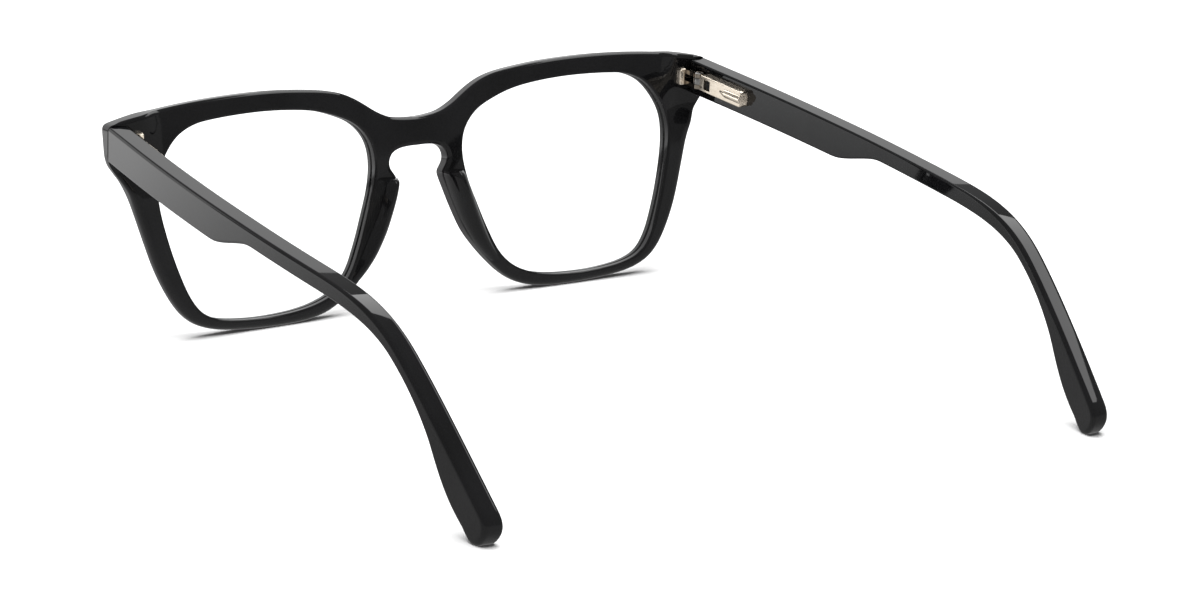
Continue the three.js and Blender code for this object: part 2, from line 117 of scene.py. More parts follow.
NOSE_PAD_STATIONS = [  # height, inner side, width, rise off the back face
    (26.9, 5.5, 4.6, 2.6), (26.2, 5.4, 5, 3.6), (24, 6, 5.2, 4), (20, 7.35, 5.1, 3.6),
    (16, 8.95, 4.9, 2.9), (12, 11.15, 4.2, 2), (9.2, 13.25, 3.5, 1.2), (7.4, 14.9, 3, 0.45),
]
NOSE_PAD_SECTION = [
    (0, 0), (0.04, 0.42), (0.14, 0.72), (0.3, 0.94), (0.42, 1), (0.6, 0.85), (0.8, 0.5), (1, 0),
]
NOSE_PAD_SUNK = 0.7  # how far its root runs into the front

# ---- temple: U along it from its butt, V up, in millimetres -----------------------------------------------

TEMPLE_THICKNESS = 3.9
TEMPLE_BOW = 0.0007
BOW_START = 12
AXIS_INSET = 4.7
AXIS_SETBACK = 4.3
INNER_FACE = AXIS_INSET - TEMPLE_THICKNESS
SEAM_GAP = 0.3

TEMPLE_CURVES = [  # clockwise from the top of the butt, each a Bezier curve and its number of points
    ([(-2, 3.2), (29, 3.175), (60, 3.15)], 40),
    ([(60, 3.15), (74, 3.05), (88, 2.95)], 20),
    ([(88, 2.95), (100, 2.85), (109, 2.6), (117.4, -2.3)], 30),
    ([(117.4, -2.3), (125.2, -7.2), (134.5, -15), (144.1, -23.2)], 30),
    ([(144.1, -23.2), (146.4, -25.4), (144.6, -27.8)], 14),
    ([(144.6, -27.8), (142, -31.6), (138.9, -27.6)], 14),
    ([(138.9, -27.6), (133.6, -24.4), (131, -19.9), (128.2, -15.5)], 16),
    ([(128.2, -15.5), (124.6, -10.9), (121, -7.9), (117, -5.4)], 16),
    ([(117, -5.4), (111, -1.3), (102, -0.3), (90, -0.3)], 24),
    ([(90, -0.3), (78, -0.21), (66, -0.12)], 12),
    ([(66, -0.12), (63, -0.14), (54, -3.72), (50.5, -3.7)], 24),
    ([(50.5, -3.7), (24, -3.78), (-2, -3.85)], 40),
]
TEMPLE_LIGHT, TEMPLE_HEAVY = 0.4, 1.1  # bell half widths of the smoothing
SMOOTHER_ALONG, CRISP_TIP_ALONG = (3, 4), (136, 6)
SOFT_TIP_ALONG = (95, 25)  # towards the tip both edges get rounder
INNER_RADIUS, INNER_RADIUS_GAIN = 0.4, 0.5
OUTER_RADIUS, OUTER_RADIUS_GAIN = 0.55, 0.35
POCKET_LEAD = 4  # the pocket starts this much nearer the butt than the housing
POCKET_CLEARANCE = 0.25
POCKET_DEPTH = 1.5
POCKET_EDGE = 0.08
POCKET_SPACING = 0.2

# ---- hinge: Y along the temple from the screw's axis, in millimetres --------------------------------------

HOUSING_START = 1.5
HOUSING_LENGTH = 14.3
HOUSING_HALF = 1.65
HOUSING_PROUD = 1.7  # above the temple's inner face
HOUSING_SUNK = 1.3
HOUSING_CORNERS = (0.3, 0.6)  # at its mouth and at its rear
HOUSING_EDGES = (0.16, 0.1)
WINDOW_SPAN = (2.8, 5.0)
WINDOW_LOW, WINDOW_HIGH = -1.1, 1.0
WINDOW_CORNERS = (0.35, 0.12)
WINDOW_EDGE = 0.06
WINDOW_DEPTH = 0.7
WINDOW_PLATE = (0.45, 0.65)  # its two faces, below the housing's
WINDOW_PLATE_INSET = 0.05
WINDOW_PLATE_CORNERS = (0.3, 0.1)
RIDGE_START = 7.4
RIDGE_TAPER = 3.4
RIDGE_RADIUS = 0.95
RIDGE_POINT = 0.02
RIDGE_CENTRE = -0.6
RIDGE_OVERHANG = 0.1
RIDGE_CHAMFER, RIDGE_BREAK = 0.12, 0.04
RIDGE_SIDES = 40
LEAF_PAD_INNER = -2.4
LEAF_PAD_OUTER = -0.5
LEAF_PAD_HALF = 1.75
LEAF_PAD_BACK = -3.5
LEAF_PAD_THICKNESS = 1.8
LEAF_PAD_CORNER = 0.5
LEAF_PAD_CROWN = 0.3
SQUARE_EDGE = 0.02
LEAF_EDGE, SCREW_EDGE, KNUCKLE_EDGE = 0.08, 0.04, 0.06

# ---- curves -----------------------------------------------------------------------------------------------

LOOP_SPACING = 0.3
OUTLINE_STEPS, OPENING_STEPS, NOSE_PAD_STEPS = 8, 12, 5  # points from one control point to the next
CORNER_STEPS, ARC_STEPS = 7, 25
CLEAR_OF_EDGE = 0.55  # as a share of the grid's spacing
EDGE_BATCH = 400  # edge points measured at once, to save memory


def catmull(points, closed, centripetal, steps):
    """Dense points on a Catmull-Rom curve through the given ones."""
    p = np.array(points, float)
    n = len(p)
    out = []
    for i in range(n if closed else n - 1):
        if closed:
            a, b, c, d = (p[(i + k) % n] for k in (-1, 0, 1, 2))
        else:
            b, c = p[i], p[i + 1]
            a = p[i - 1] if i else (2 * b - c if centripetal else b)
            d = p[i + 2] if i + 2 < n else (2 * c - b if centripetal else c)
        if centripetal:
            t0, t1, t2 = (np.linalg.norm(v) ** 0.5 for v in (b - a, c - b, d - c))
            m0 = ((b - a) / t0 - (c - a) / (t0 + t1) + (c - b) / t1) * t1
            m1 = ((c - b) / t1 - (d - b) / (t1 + t2) + (d - c) / t2) * t1
        else:
            m0, m1 = (c - a) / 2, (d - b) / 2
        for k in range(steps):
            t = k / steps
            out.append(
                b + m0 * t + (3 * (c - b) - 2 * m0 - m1) * t * t + (2 * (b - c) + m0 + m1) * t ** 3
            )
    if not closed:
        out.append(p[-1])
    return np.array(out)


def bezier(controls, steps):
    """Points on a Bezier curve of three or four control points."""
    t = np.linspace(0, 1, steps)[:, None]
    a, b, c, *rest = (np.array(v, float) for v in controls)
    if not rest:
        return a * (1 - t) ** 2 + 2 * b * t * (1 - t) + c * t * t
    return a * (1 - t) ** 3 + 3 * b * t * (1 - t) ** 2 + 3 * c * t * t * (1 - t) + rest[0] * t ** 3


def resampled(loop, spacing):
    """The closed loop with evenly spaced points."""
    p = np.vstack([loop, loop[:1]])
    step = np.linalg.norm(np.diff(p, axis=0), axis=1)
    p = p[np.concatenate([[True], step > 1e-9])]
    s = np.concatenate([[0], np.cumsum(np.linalg.norm(np.diff(p, axis=0), axis=1))])
    n = int(round(s[-1] / spacing))
    at = np.arange(n) * s[-1] / n
    return np.stack([np.interp(at, s, p[:, k]) for k in (0, 1)], 1)


def smoothed(loop, sigma):
    """The closed loop averaged along its length by a bell curve of that half width."""
    reach = int(math.ceil(3 * sigma / LOOP_SPACING))
    k = np.arange(-reach, reach + 1)
    w = np.exp(-0.5 * (k * LOOP_SPACING / sigma) ** 2)
    w /= w.sum()
    return sum(wi * np.roll(loop, -ki, axis=0) for ki, wi in zip(k, w))


def inward(loop):
    """Unit normals to the left of the loop's direction of travel."""
    along = np.roll(loop, -1, axis=0) - np.roll(loop, 1, axis=0)
    along /= np.linalg.norm(along, axis=1)[:, None]
    return np.stack([-along[:, 1], along[:, 0]], 1)


def area(loop):
    """The loop's area, negative where it runs clockwise."""
    x, y = loop[:, 0], loop[:, 1]
    return 0.5 * float(np.sum(x * np.roll(y, -1) - np.roll(x, -1) * y))


def inside(points, loop):
    """Which points lie inside the loop."""
    x, y = points[:, 0][:, None], points[:, 1][:, None]
    a, b = loop, np.roll(loop, -1, axis=0)
    crosses = (a[:, 1] > y) != (b[:, 1] > y)
    height = np.where(b[:, 1] == a[:, 1], 1e-12, b[:, 1] - a[:, 1])
    at = a[:, 0] + (y - a[:, 1]) * (b[:, 0] - a[:, 0]) / height
    return (np.sum(crosses & (x < at), axis=1) % 2) == 1


def rise(value, blend):
    """0 below the blend, 1 above it and smooth between."""
    start, width = blend
    t = np.clip((value - start) / width, 0, 1)
    return t * t * (3 - 2 * t)


def within(points, triangles, borders, limits):
    """Which triangles lie inside the first limit and outside the others. Triangles joined without crossing a
    border share the answer of the largest of them, so slivers along a border are never mistaken."""
    barrier = {frozenset(b) for b in borders}
    across, parent = {}, list(range(len(triangles)))

    def root(k):
        while parent[k] != k:
            parent[k] = parent[parent[k]]
            k = parent[k]
        return k

    for k, t in enumerate(triangles):
        for i in range(3):
            edge = frozenset((int(t[i]), int(t[(i + 1) % 3])))
            if edge in barrier:
                continue
            if edge in across:
                parent[root(k)] = root(across[edge])
            else:
                across[edge] = k
    a, b, c = (points[triangles[:, k]] for k in range(3))
    size = np.abs((b[:, 0] - a[:, 0]) * (c[:, 1] - a[:, 1]) - (c[:, 0] - a[:, 0]) * (b[:, 1] - a[:, 1]))
    largest = {}
    for k in range(len(triangles)):
        r = root(k)
        if r not in largest or size[k] > size[largest[r]]:
            largest[r] = k
    keep = {}
    for r, k in largest.items():
        middle = points[triangles[k]].mean(0)[None]
        keep[r] = bool(inside(middle, limits[0])[0]) and not any(inside(middle, o)[0] for o in limits[1:])
    return np.array([keep[root(k)] for k in range(len(triangles))])


def grid_between(limits, spacing):
    """Staggered grid points inside the first limit and outside the others, kept off their edges."""
    lo, hi = limits[0].min(0), limits[0].max(0)
    gx, gy = np.meshgrid(np.arange(lo[0], hi[0], spacing), np.arange(lo[1], hi[1], spacing))
    stagger = spacing * 0.5 * (np.indices(gx.shape)[0].ravel() % 2)
    grid = np.column_stack([gx.ravel() + stagger, gy.ravel()])
    keep = inside(grid, limits[0])
    for other in limits[1:]:
        keep &= ~inside(grid, other)
    grid = grid[keep]
    edge = np.vstack(limits)
    near = np.full(len(grid), np.inf)
    for start in range(0, len(edge), EDGE_BATCH):
        part = edge[None, start : start + EDGE_BATCH]
        gaps = np.linalg.norm(grid[:, None] - part, axis=2).min(1)
        near = np.minimum(near, gaps)
    return grid[near > spacing * CLEAR_OF_EDGE]


# ---- meshes -----------------------------------------------------------------------------------------------

WELD = 2e-6  # metres
ON_PLANE = 1e-7  # metres
CREASE = 38  # degrees
NOSE_PAD_CREASE, RIDGE_CREASE, REFINED_CREASE = 50, 35, 30
FLAT_ANGLE, SHARP_ANGLE = 1 * DEG, 32 * DEG


def tidy(name, mesh, crease=CREASE):
    """An object from a closed mesh, with its faces turned outwards and smooth apart from its creases."""
    work = bmesh.new()
    work.from_mesh(mesh)
    bmesh.ops.remove_doubles(work, verts=work.verts, dist=WELD)
    bmesh.ops.recalc_face_normals(work, faces=work.faces)
    work.to_mesh(mesh)
    work.free()
    for polygon in mesh.polygons:
        polygon.use_smooth = True
    mesh.set_sharp_from_angle(angle=crease * DEG)
    obj = bpy.data.objects.new(name, mesh)
    bpy.context.scene.collection.objects.link(obj)
    even = obj.modifiers.new("even_normals", "WEIGHTED_NORMAL")
    even.keep_sharp = True
    return obj


def solid(name, points, polygons, crease=CREASE):
    """An object from points in millimetres and the polygons that close it."""
    mesh = bpy.data.meshes.new(name)
    mesh.from_pydata([tuple(p * MM) for p in points], [], polygons)
    return tidy(name, mesh, crease)


def lofted(name, rings, place, crease):
    """A closed mesh through rings of equally many points, with flat ends."""
    n = len(rings[0])
    polygons = []
    for r in range(len(rings) - 1):
        for i in range(n):
            j = (i + 1) % n
            polygons.append((r * n + i, r * n + j, (r + 1) * n + j, (r + 1) * n + i))
    last = (len(rings) - 1) * n
    polygons += [tuple(range(n)), tuple(range(last, last + n))]
    return solid(name, place(np.vstack(rings)), polygons, crease)


def cut(obj, point, normal):
    """Takes off what lies beyond a plane and closes the hole."""
    work = bmesh.new()
    work.from_mesh(obj.data)
    everything = work.verts[:] + work.edges[:] + work.faces[:]
    made = bmesh.ops.bisect_plane(
        work, geom=everything, plane_co=point, plane_no=normal, clear_outer=True, dist=ON_PLANE
    )
    edges = [e for e in made["geom_cut"] if isinstance(e, bmesh.types.BMEdge)]
    bmesh.ops.holes_fill(work, edges=edges, sides=0)
    bmesh.ops.recalc_face_normals(work, faces=work.faces)
    work.to_mesh(obj.data)
    work.free()
    obj.data.set_sharp_from_angle(angle=CREASE * DEG)


def refined(name, node, edge):
    """The shape of a CAD node with its sharp edges softened. The most crowded place limits the softening
    everywhere, so the leaves come out nearly as sharp as in the CAD."""
    work = bmesh.new()
    work.from_mesh(frame["nodes"][node].data)
    bmesh.ops.remove_doubles(work, verts=work.verts, dist=WELD)
    bmesh.ops.dissolve_limit(work, angle_limit=FLAT_ANGLE, verts=work.verts, edges=work.edges)
    sharp = [e for e in work.edges if len(e.link_faces) == 2 and e.calc_face_angle() > SHARP_ANGLE]
    bmesh.ops.bevel(
        work, geom=sharp, offset=edge * MM, segments=2, profile=0.5, affect="EDGES", clamp_overlap=True
    )
    bmesh.ops.triangulate(work, faces=[f for f in work.faces if len(f.verts) > 4])
    mesh = bpy.data.meshes.new(name)
    work.to_mesh(mesh)
    work.free()
    return tidy(name, mesh, REFINED_CREASE)


# ---- plates with rounded edges ----------------------------------------------------------------------------

ROUND_STEPS = 6
CDT_TOLERANCE = 1e-7
TURNS = np.linspace(math.pi / 2, 0, ROUND_STEPS + 1)
MARGIN = 0.06  # a narrow flat ring between a rounded edge and its face


class Shell:
    """A closed surface gathered ring by ring. A vertex is a point in the faces' plane and its depth."""

    def __init__(self, spacing):
        self.spacing = spacing
        self.vertices, self.quads, self.triangles = [], [], []

    def ring(self, points, depth):
        """Adds vertices and gives their numbers."""
        start = sum(len(v) for v in self.vertices)
        self.vertices.append(np.column_stack([points, depth]))
        return np.arange(start, start + len(points))

    def join(self, rings):
        """Quads between each ring and the next."""
        for a, b in zip(rings, rings[1:]):
            self.quads.extend(zip(a, np.roll(a, -1), np.roll(b, -1), b))

    def fill(self, rims, limits, depth):
        """Triangles over a face, inside the first limit and outside the others."""
        grid = grid_between(limits, self.spacing)
        points = np.vstack([*limits, grid])
        index = np.concatenate([*rims, self.ring(grid, depth(grid))])
        edges, start = [], 0
        for limit in limits:
            n = len(limit)
            edges.extend((start + i, start + (i + 1) % n) for i in range(n))
            start += n
        corners, made_edges, made_faces, corner_sources, edge_sources, _ = delaunay_2d_cdt(
            [Vector(p) for p in points], edges, [], 0, CDT_TOLERANCE
        )
        corners = np.array([tuple(v) for v in corners])
        borders = [e for e, source in zip(made_edges, edge_sources) if source]
        crossings = np.array([i for i, source in enumerate(corner_sources) if not source], int)
        new = self.ring(corners[crossings], depth(corners[crossings])) if len(crossings) else []
        at = np.array([index[source[0]] if source else 0 for source in corner_sources])
        at[crossings] = new
        triangles = np.array([tuple(f) for f in made_faces])
        self.triangles.extend(at[t] for t in triangles[within(corners, triangles, borders, limits)])

    def built(self, name, place):
        """The object, its vertices moved by place into the object's frame."""
        polygons = [tuple(int(i) for i in f) for f in self.quads + self.triangles]
        return solid(name, place(np.vstack(self.vertices)), polygons)


def moved(points, normal, distance):
    """The points moved along their normals, all as far or each by its own distance."""
    return points + normal * np.broadcast_to(distance, len(points))[:, None]


def plate(name, loops, face_a, face_b, place, spacing=0.9):
    """A closed plate between two faces, each a depth at a point. Every loop is a dict: its points, the radii
    of its edges at both faces, and any rings of the wall between them as (distance into the material, depth
    below face a). The first loop is the outside. A loop with a floor is a pocket in face a, that deep."""
    shell = Shell(spacing)
    rims_a, limits_a, rims_b, limits_b = [], [], [], []
    for loop in loops:
        points = loop["points"]
        normal = inward(points)
        radius = np.broadcast_to(loop["round_a"], len(points))
        q = moved(points, normal, radius + MARGIN)
        rings = [shell.ring(q, face_a(q))]
        rims_a.append(rings[-1])
        limits_a.append(q)
        for turn in TURNS:
            q = moved(points, normal, radius * (1 - math.cos(turn)))
            rings.append(shell.ring(q, face_a(q) + radius * (1 - math.sin(turn))))
        if "floor" in loop:
            # Known fault: the ring runs the other way round from the limit, so this floor's triangles
            # overlap. Most of each such floor is hidden under another piece.
            depth = loop["floor"]
            rings.append(shell.ring(points, face_a(points) + depth))
            shell.join(rings)
            shell.fill([rings[-1]], [points[::-1]], lambda g, depth=depth: face_a(g) + depth)
            continue
        for distance, depth in loop.get("wall", []):
            rings.append(shell.ring(moved(points, normal, distance), face_a(points) + depth))
        radius = np.broadcast_to(loop["round_b"], len(points))
        for turn in TURNS[::-1]:
            q = moved(points, normal, radius * (1 - math.cos(turn)))
            rings.append(shell.ring(q, face_b(q) - radius * (1 - math.sin(turn))))
        q = moved(points, normal, radius + MARGIN)
        rings.append(shell.ring(q, face_b(q)))
        rims_b.append(rings[-1])
        limits_b.append(q)
        shell.join(rings)
    shell.fill(rims_a, limits_a, face_a)
    shell.fill(rims_b, limits_b, face_b)
    return shell.built(name, place)


def level(depth):
    """A flat face at that depth."""
    return lambda p: np.full(len(p), depth)


def rounded_box(span, low, high, corners, spacing):
    """A rectangle along a span and from low to high, running anticlockwise. Its corner radii are those at the
    span's start and at its end."""
    start, end = span
    start_radius, end_radius = corners
    turn = np.linspace(0, math.pi / 2, CORNER_STEPS)
    centres = [
        (end - end_radius, high - end_radius, end_radius),
        (start + start_radius, high - start_radius, start_radius),
        (start + start_radius, low + start_radius, start_radius),
        (end - end_radius, low + end_radius, end_radius),
    ]
    points = []
    for quarter, (y, z, radius) in enumerate(centres):
        at = turn + quarter * math.pi / 2
        points.append(np.column_stack([y + radius * np.cos(at), z + radius * np.sin(at)]))
    return resampled(np.vstack(points), spacing)


# ---- places -----------------------------------------------------------------------------------------------

joints = {j["name"]: j for j in frame["joints"]}
hinge_origin = np.array(joints["fold_left"]["pos_m"]) / MM
hinge_z = np.array(joints["fold_left"]["axis"], float)
hinge_z *= np.sign(hinge_z[2])
hinge_y = np.array(joints["pull_left"]["axis"], float)
hinge_y *= np.sign(hinge_y[1])
hinge_turn = np.column_stack([np.cross(hinge_y, hinge_z), hinge_y, hinge_z])
seam_corner = hinge_origin + hinge_turn @ np.array([AXIS_INSET, -AXIS_SETBACK, 0])
cos_lean, sin_lean = math.cos(FRONT_LEAN), math.sin(FRONT_LEAN)
front_turn = np.array([[1, 0, 0], [0, -sin_lean, -cos_lean], [0, cos_lean, -sin_lean]])
front_origin = np.array([0, seam_corner[1] + FRONT_SET_BACK, FRONT_RAISE])


def in_front(p):
    """Places points of the front's frame in the object's frame."""
    return p @ front_turn.T + front_origin


def on_hinge(side):
    """Places points of the left hinge's frame in the object's frame, mirrored for the right side."""
    return lambda p: (p @ hinge_turn.T + hinge_origin) * np.array([side, 1, 1])


def on_inner_face(side):
    """Places a plate lying on the temple's inner face: its points are (along, up) and its depth is X."""
    place = on_hinge(side)
    return lambda p: place(np.column_stack([p[:, 2], p[:, 0], p[:, 1]]))


# ---- front ------------------------------------------------------------------------------------------------


def front_outline():
    """Around the front, smoothed more along the rims than at the bridge and the end pieces."""
    top = catmull(HALF_TOP, False, False, OUTLINE_STEPS)
    side = catmull(HALF_SIDE, False, False, OUTLINE_STEPS)
    half = np.vstack([top[:-1], bezier(TOP_CORNER, 10), side])
    other = half[1:-1][::-1] * np.array([-1, 1])
    loop = resampled(np.vstack([half, other])[::-1], LOOP_SPACING)
    light, heavy = smoothed(loop, OUTLINE_LIGHT), smoothed(loop, OUTLINE_HEAVY)
    x, y = np.abs(loop[:, 0]), loop[:, 1]
    share = rise(x, SMOOTHER_ACROSS) * (1 - rise(x, CRISP_END_ACROSS) * rise(y, CRISP_END_UP))
    return light + (heavy - light) * share[:, None]


def opening(side, grow=0.0):
    """Around a rim's opening, running so that its inward side is the material."""
    curve = catmull(RIM_OPENING, True, True, OPENING_STEPS)
    loop = smoothed(resampled(curve, LOOP_SPACING), OPENING_SMOOTHING)
    if area(loop) > 0:
        loop = loop[::-1]
    loop = loop + inward(loop) * grow
    return loop if side > 0 else (loop * np.array([-1, 1]))[::-1]


def seam_depth(p):
    """Depth of the seam's plane in the front's frame, at places on the front."""
    normal = hinge_turn[:, 1] @ front_turn
    seam = hinge_origin + hinge_turn @ np.array([0, -AXIS_SETBACK - SEAM_GAP, 0])
    through = (seam - front_origin) @ front_turn
    q = np.column_stack([np.abs(p[:, 0]), p[:, 1]])
    return through[2] - ((q - through[:2]) @ normal[:2]) / normal[2]


def back_face(p):
    """Depth of the back face: curved over the rims, and at the end pieces the plane of the seam."""
    base = -FACE_CURVE * p[:, 0] ** 2
    share = rise(np.abs(p[:, 0]), END_PIECE_ACROSS) * rise(p[:, 1], END_PIECE_UP)
    return base + (seam_depth(p) - base) * share


def front_face(p):
    """Depth of the front face."""
    return FRONT_THICKNESS - FACE_CURVE * p[:, 0] ** 2


def lens_back(p):
    """Depth of a lens's back face."""
    return LENS_DEPTH - FACE_CURVE * p[:, 0] ** 2


def lens_front(p):
    """Depth of a lens's front face."""
    return lens_back(p) + LENS_THICKNESS


def flush_ends(p):
    """Places the front, its end pieces lowered behind the rims so that they meet the temples' tops."""
    x, y = np.abs(p[:, 0]), p[:, 1]
    behind = np.clip(-(p[:, 2] + FACE_CURVE * x * x) / END_PIECE_REACH, *DROP_LIMITS)
    q = p.copy()
    q[:, 1] -= END_PIECE_DROP * behind * (rise(x, DROP_ACROSS) * rise(y, DROP_UP))
    return in_front(q)


def back_radii(outline):
    """Radius of the front's back edge at each point: large on the lower rims, nearly sharp at the seams."""
    x, y = np.abs(outline[:, 0]), outline[:, 1]
    top_edge = rise(y, TOP_EDGE_UP)
    start, width = SEAM_ACROSS
    shift, widening = TOP_EDGE_SHIFT
    at_seam = rise(x - start - shift * top_edge, (0, width + widening * top_edge)) * rise(y, SEAM_UP)
    flank = rise(x, FLANK_ACROSS) * (1 - rise(y, FLANK_UP))
    return (BACK_RADIUS + FLANK_GAIN * flank) * (1 - at_seam) + SEAM_RADIUS * at_seam


def make_front():
    """The front with its two openings and the groove in each."""
    outline = front_outline()
    loops = [dict(points=outline, round_a=back_radii(outline), round_b=FRONT_RADIUS)]
    middle = LENS_DEPTH + LENS_THICKNESS / 2
    wall = [(0, middle - GROOVE), (GROOVE, middle), (0, middle + GROOVE)]
    for side in (1, -1):
        rim = opening(side)
        loops.append(dict(points=rim, round_a=RIM_BACK_RADIUS, round_b=RIM_FRONT_RADIUS, wall=wall))
    return plate("front_acetate", loops, back_face, front_face, flush_ends)


def make_lens(name, side):
    """A lens that reaches into the groove."""
    rim = opening(side, GROOVE - LENS_CLEARANCE)[::-1]
    loops = [dict(points=rim, round_a=LENS_EDGE, round_b=LENS_EDGE)]
    return plate(name, loops, lens_back, lens_front, in_front, LENS_SPACING)


def make_nose_pad(name, side):
    """A smooth ridge along the nose side of the rim."""
    section = catmull(NOSE_PAD_SECTION, False, True, NOSE_PAD_STEPS)
    rings = []
    for height, inner, width, proud in catmull(NOSE_PAD_STATIONS, False, True, NOSE_PAD_STEPS):
        x = inner + width * section[:, 0]
        z = NOSE_PAD_SUNK - (NOSE_PAD_SUNK + proud) * section[:, 1]
        rings.append(np.column_stack([x * side, np.full(len(x), height), z - FACE_CURVE * x * x]))
    return lofted(name, rings, in_front, NOSE_PAD_CREASE)


# ---- temples ----------------------------------------------------------------------------------------------


def temple_outline():
    """Around a temple, smoothed less at its butt and its tip."""
    parts = [bezier(controls, steps) for controls, steps in TEMPLE_CURVES]
    loop = resampled(np.vstack([part[:-1] for part in parts] + [parts[-1][-1:]])[::-1], LOOP_SPACING)
    light, heavy = smoothed(loop, TEMPLE_LIGHT), smoothed(loop, TEMPLE_HEAVY)
    share = rise(loop[:, 0], SMOOTHER_ALONG) * (1 - rise(loop[:, 0], CRISP_TIP_ALONG))
    return light + (heavy - light) * share[:, None]


def bowed(p):
    """Turns (along, up, depth) into the hinge's frame, bent inwards past the start of the bow."""
    past = np.maximum(0, p[:, 0] - BOW_START)
    x = p[:, 2] - TEMPLE_BOW * past ** 2
    return np.column_stack([x, p[:, 0] - AXIS_SETBACK, p[:, 1]])


def pocket_outline():
    """Around the pocket that holds the spring housing, round at its rear: (along the temple, up)."""
    half = HOUSING_HALF + POCKET_CLEARANCE
    start = AXIS_SETBACK + HOUSING_START - POCKET_LEAD
    end = AXIS_SETBACK + HOUSING_START + HOUSING_LENGTH - HOUSING_HALF
    turn = np.linspace(-math.pi / 2, math.pi / 2, ARC_STEPS)
    arc = np.column_stack([end + half * np.cos(turn), half * np.sin(turn)])
    loop = np.vstack([[(start, half), (start, -half)], arc])
    return resampled(loop[::-1], POCKET_SPACING)


def make_temple(name, side):
    """A temple with the pocket in its inner face."""
    outline = temple_outline()
    towards_tip = rise(outline[:, 0], SOFT_TIP_ALONG)
    inner_radius = INNER_RADIUS + INNER_RADIUS_GAIN * towards_tip
    outer_radius = OUTER_RADIUS + OUTER_RADIUS_GAIN * towards_tip
    loops = [
        dict(points=outline, round_a=inner_radius, round_b=outer_radius),
        dict(points=pocket_outline(), round_a=POCKET_EDGE, floor=POCKET_DEPTH),
    ]
    place = on_hinge(side)
    return plate(name, loops, level(INNER_FACE), level(AXIS_INSET), lambda p: place(bowed(p)))


# ---- hinges -----------------------------------------------------------------------------------------------


def make_leaf_pad(name, side):
    """The pillow-shaped end of the leaf on the back of the front, at its inner side."""
    place = on_hinge(side)
    span = (LEAF_PAD_INNER, LEAF_PAD_OUTER)
    loop = rounded_box(span, -LEAF_PAD_HALF, LEAF_PAD_HALF, (LEAF_PAD_CORNER, LEAF_PAD_CORNER), spacing=0.12)
    return plate(
        name,
        [dict(points=loop, round_a=LEAF_PAD_CROWN, round_b=SQUARE_EDGE)],
        level(0.0),
        level(LEAF_PAD_THICKNESS),
        lambda p: place(np.column_stack([p[:, 0], LEAF_PAD_BACK - p[:, 2], p[:, 1]])),
        spacing=0.2,
    )


def make_housing(name, side):
    """A plate let into the temple, with a recessed window near its mouth."""
    span = (HOUSING_START, HOUSING_START + HOUSING_LENGTH)
    outside = rounded_box(span, -HOUSING_HALF, HOUSING_HALF, HOUSING_CORNERS, spacing=0.15)
    window = rounded_box(WINDOW_SPAN, WINDOW_LOW, WINDOW_HIGH, WINDOW_CORNERS, spacing=0.1)[::-1]
    outer_edge, inner_edge = HOUSING_EDGES
    loops = [
        dict(points=outside, round_a=outer_edge, round_b=inner_edge),
        dict(points=window, round_a=WINDOW_EDGE, floor=WINDOW_DEPTH),
    ]
    top, bottom = level(INNER_FACE - HOUSING_PROUD), level(INNER_FACE + HOUSING_SUNK)
    return plate(name, loops, top, bottom, on_inner_face(side), spacing=0.35)


def make_window_painted_shade(name, side):
    """The dark plate in the housing's window: painted shade, standing for the shadowed hollow behind it."""
    start, end = WINDOW_SPAN
    span = (start + WINDOW_PLATE_INSET, end - WINDOW_PLATE_INSET)
    low, high = WINDOW_LOW + WINDOW_PLATE_INSET, WINDOW_HIGH - WINDOW_PLATE_INSET
    loop = rounded_box(span, low, high, WINDOW_PLATE_CORNERS, spacing=0.1)
    loops = [dict(points=loop, round_a=SQUARE_EDGE, round_b=SQUARE_EDGE)]
    top, bottom = (level(INNER_FACE - HOUSING_PROUD + depth) for depth in WINDOW_PLATE)
    return plate(name, loops, top, bottom, on_inner_face(side), spacing=0.3)


def make_ridge(name, side):
    """The spring's barrel: it widens from a point on the plate and ends in a flat round face."""
    end = HOUSING_START + HOUSING_LENGTH + RIDGE_OVERHANG
    profile = [
        (RIDGE_START, RIDGE_POINT),
        (RIDGE_START + RIDGE_TAPER, RIDGE_RADIUS),
        (end - RIDGE_CHAMFER, RIDGE_RADIUS),
        (end - RIDGE_BREAK, RIDGE_RADIUS - RIDGE_BREAK),
        (end, RIDGE_RADIUS - RIDGE_CHAMFER),
    ]
    turn = np.arange(RIDGE_SIDES) * 2 * math.pi / RIDGE_SIDES
    rings = []
    for along, radius in profile:
        y = np.full(RIDGE_SIDES, along)
        rings.append(np.column_stack([radius * np.cos(turn), y, radius * np.sin(turn)]))
    place = on_hinge(side)
    return lofted(name, rings, lambda p: place(p + np.array([RIDGE_CENTRE, 0, 0])), RIDGE_CREASE)


# ---- materials --------------------------------------------------------------------------------------------


